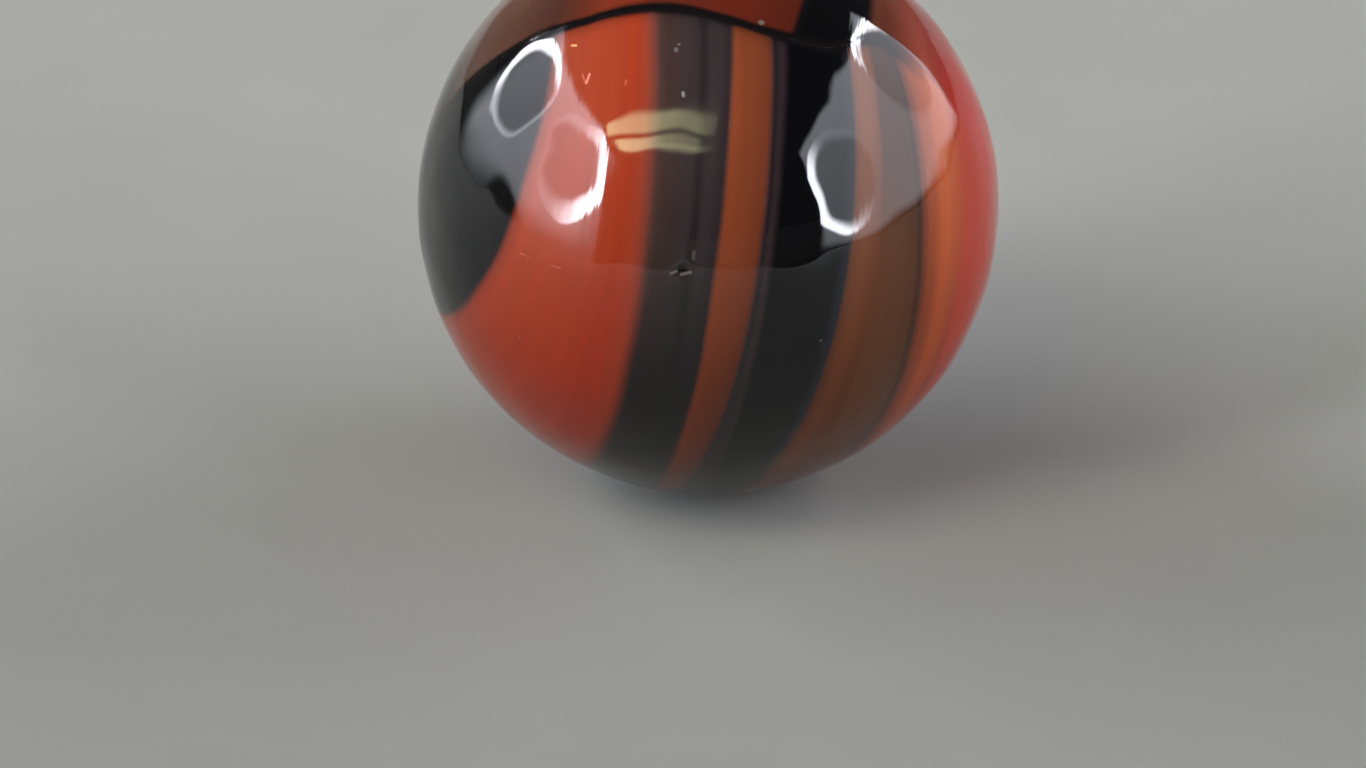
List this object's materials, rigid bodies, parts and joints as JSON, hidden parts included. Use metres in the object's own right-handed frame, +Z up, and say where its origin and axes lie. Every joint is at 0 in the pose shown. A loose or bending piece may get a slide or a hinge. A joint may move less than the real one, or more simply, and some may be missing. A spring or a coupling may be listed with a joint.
{
  "type": "glass marble",
  "caption": "Solid glass ball with ribbons of red, orange, brown and black glass that are cut short at a dark fold seam over its top.",
  "frame": {"origin": "centre of the ball", "axes": "+Z up as the ball is shown, -Y to the front where the ribbons run from the fold seam down, +X to the right seen from the front"},
  "size_m": [0.016, 0.016, 0.016],
  "materials": {
    "marble_glass": "fire-polished opaque glass; red with ribbons of orange, brown and black"
  },
  "bodies": {
    "root": {"marble": "marble_glass"}
  },
  "joints": []
}
